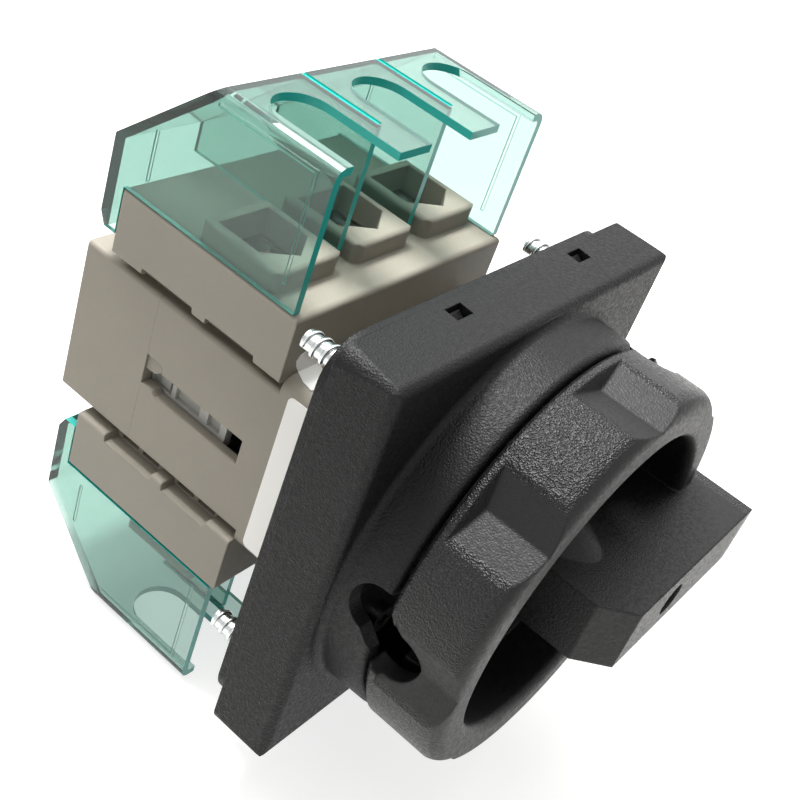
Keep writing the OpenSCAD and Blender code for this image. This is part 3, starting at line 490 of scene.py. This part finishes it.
def addScrews():
    half = thread["spacing"] / 2
    seats = [(x * half * mm, thread["start"] * mm, z * half * mm) for x in (-1, 1) for z in (-1, 1)]
    mesh = bpy.data.meshes.new("threadSeats")
    mesh.from_pydata(seats, [], [])
    screws = bpy.data.objects.new("mountingScrewsThreaded", mesh)
    bpy.context.scene.collection.objects.link(screws)
    threads = rolledThreads(screws)

    # heads and shanks as built, cut off where the thread begins and closed
    shape = mergedCopy("mounting_screws")
    cut = bmesh.ops.bisect_plane(
        shape,
        geom=shape.verts[:] + shape.edges[:] + shape.faces[:],
        plane_co=(0, thread["neck"] * mm, 0),
        plane_no=(0, 1, 0),
        clear_outer=True,
    )
    rims = [part for part in cut["geom_cut"] if isinstance(part, bmesh.types.BMEdge)]
    bmesh.ops.holes_fill(shape, edges=rims)
    shape.from_mesh(threads)
    bmesh.ops.recalc_face_normals(shape, faces=shape.faces)
    whole = meshFrom("mountingScrewsThreaded", shape)
    whole.materials.append(zinc)
    for face in whole.polygons:
        face.material_index = 0
        face.use_smooth = True
    whole.set_sharp_from_angle(angle=math.radians(thread["crease"]))
    screws.data = whole
    bpy.data.meshes.remove(threads)
    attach(screws, "base")
    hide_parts("mounting_screws")


# Blank film labels, in millimetres: a strip down the side, and a petal that lies on the top step with
# its other half bent up against the block
strip = {"x": -29.8, "y": (3.0, 12.1), "z": (-18.6, 18.2), "corner": 1.3, "arcSteps": 6, "film": 0.12}
petal = {
    "top": 20.5,
    "step": 14.3,
    "film": 0.12,
    "lying": (
        (-20.3, 0),
        (-22.4, -2.6),
        (-25.0, -4.6),
        (-27.3, -5.4),
        (-28.1, -4.9),
        (-27.7, -2.6),
        (-26.3, 0),
    ),
    "standing": (
        (-26.3, 0),
        (-27.4, 1.7),
        (-27.8, 3.0),
        (-27.1, 4.1),
        (-25.2, 4.7),
        (-22.7, 4.2),
        (-20.9, 2.6),
        (-20.3, 0),
    ),
}


def addFilm(name, outline, depth):
    shape = bmesh.new()
    under = [shape.verts.new(Vector(point) * mm) for point in outline]
    over = [shape.verts.new(corner.co + Vector(depth) * mm) for corner in under]
    shape.faces.new(under)
    shape.faces.new(over)
    for i in range(len(outline)):
        shape.faces.new((under[i - 1], under[i], over[i], over[i - 1]))
    bmesh.ops.recalc_face_normals(shape, faces=shape.faces)
    addObject(name, meshFrom(name, shape), (paper,), "base")


def addLabels():
    (y0, y1), (z0, z1), r = strip["y"], strip["z"], strip["corner"]
    corners = ((y1 - r, z1 - r, 0), (y0 + r, z1 - r, 90), (y0 + r, z0 + r, 180), (y1 - r, z0 + r, 270))
    rounded = []
    for cy, cz, begin in corners:
        for step in range(strip["arcSteps"] + 1):
            angle = math.radians(begin + step * 90 / strip["arcSteps"])
            rounded.append((strip["x"], cy + r * math.cos(angle), cz + r * math.sin(angle)))
    addFilm("sideLabelBlank", rounded, (-strip["film"], 0, 0))
    lying = [(x, petal["step"] + y, petal["top"]) for x, y in petal["lying"]]
    addFilm("topLabelBlank", lying, (0, 0, petal["film"]))
    standing = [(x, petal["step"], petal["top"] + z) for x, z in petal["standing"]]
    addFilm("topLabelFlapBlank", standing, (0, -petal["film"], 0))


for side in ("upper", "lower"):
    addCover(side)
addScrews()
addLabels()
print("covers, screws and labels on")

# Camera at the photograph's angle, lengths in millimetres
camera = {
    "place": (-180.23, -83.55, 150.92),
    "right": (0.57547, -0.75372, 0.31740),
    "down": (-0.31235, -0.56125, -0.76645),
    "focal": 57.19,
    "sensor": 36.0,
    "shift": (-0.0618, -0.0135),
    "nearest": 10.0,
}


def addCamera():
    data = bpy.data.cameras.new("photoCamera")
    data.sensor_width = camera["sensor"]
    data.lens = camera["focal"]
    data.shift_x, data.shift_y = camera["shift"]
    data.clip_start = camera["nearest"] * mm
    right = Vector(camera["right"]).normalized()
    up = -Vector(camera["down"]).normalized()
    back = right.cross(up)
    up = back.cross(right)
    turn = Matrix((right, up, back)).transposed().to_4x4()
    eye = bpy.data.objects.new("photoCamera", data)
    eye.matrix_world = Matrix.Translation(Vector(camera["place"]) * mm) @ turn
    bpy.context.scene.collection.objects.link(eye)
    bpy.context.scene.camera = eye


# White where the camera, a reflection or a clear wall looks at it; dimmer as a light
def straightSeen(tree):
    path = addNode(tree, "ShaderNodeLightPath").outputs
    seen = reckon(tree, "MAXIMUM", path["Is Camera Ray"], path["Is Transmission Ray"])
    return reckon(tree, "MAXIMUM", seen, path["Is Glossy Ray"])


# Uncoated pale paper under the part: no gloss, and a soft grey shadow on white; lengths in millimetres
paperFloor = {"drop": 0.2, "size": 6000, "colour": "#B9B8B5", "rough": 0.9, "lift": 0.72}


def addFloor():
    low = cadBounds[0].z - paperFloor["drop"] * mm
    half = paperFloor["size"] / 2 * mm
    mesh = bpy.data.meshes.new("paleFloor")
    corners = [(x * half, y * half, low) for x, y in ((-1, -1), (1, -1), (1, 1), (-1, 1))]
    mesh.from_pydata(corners, [], [(0, 1, 2, 3)])
    floor = bpy.data.objects.new("paleFloor", mesh)
    bpy.context.scene.collection.objects.link(floor)
    material, tree = newMaterial("paleFloorPaper")
    links = {"Emission Strength": reckon(tree, "MULTIPLY", straightSeen(tree), paperFloor["lift"])}
    settings = {
        "Base Color": linear(paperFloor["colour"]),
        "Roughness": paperFloor["rough"],
        "Emission Color": (1, 1, 1, 1),
        "Specular IOR Level": 0.0,
    }
    finishMaterial(tree, addNode(tree, "ShaderNodeBsdfPrincipled", settings, links))
    mesh.materials.append(material)


# Lamps: size and distance in millimetres, power in watts
lamps = {
    "top": {"place": (-20, 240, 640), "aim": (0, 20, 0), "size": (900, 900), "power": 7.0},
    "spark": {"place": (-20, 240, 640), "aim": (0, 20, 0), "size": (180, 180), "power": 8.6},
    "rear": {"place": (470, 215, 350), "aim": (0, 20, 0), "size": (900, 900), "power": 1.9},
    "left": {"place": (-560, -60, 160), "aim": (0, 10, 0), "size": (300, 420), "power": 0.15},
    "front": {"place": (60, -620, 120), "aim": (0, 0, 0), "size": (380, 380), "power": 0.3},
}
roomLight = 0.37  # how strongly the white room lights the part


def addLamp(name, lamp):
    data = bpy.data.lights.new(name, "AREA")
    data.shape = "RECTANGLE"
    data.size, data.size_y = (s * mm for s in lamp["size"])
    data.energy = lamp["power"]
    lampObject = bpy.data.objects.new(name, data)
    start = Vector(lamp["place"]) * mm
    lampObject.location = start
    lampObject.rotation_euler = (start - Vector(lamp["aim"]) * mm).to_track_quat("Z", "Y").to_euler()
    bpy.context.scene.collection.objects.link(lampObject)


def addStudio():
    for name, lamp in lamps.items():
        addLamp(name + "Lamp", lamp)
    world = bpy.data.worlds.new("paleRoom")
    world.use_nodes = True
    tree = world.node_tree
    tree.nodes.clear()
    room = addNode(tree, "ShaderNodeBackground", {"Color": (1, 1, 1, 1), "Strength": roomLight})
    white = addNode(tree, "ShaderNodeBackground", {"Color": (1, 1, 1, 1), "Strength": 1.0})
    links = {0: straightSeen(tree), 1: room.outputs[0], 2: white.outputs[0]}
    mix = addNode(tree, "ShaderNodeMixShader", links=links)
    addNode(tree, "ShaderNodeOutputWorld", links={"Surface": mix.outputs[0]})
    bpy.context.scene.world = world
    bpy.context.scene.view_settings.view_transform = "Standard"


addCamera()
addFloor()
addStudio()
print("camera, floor and lamps set")
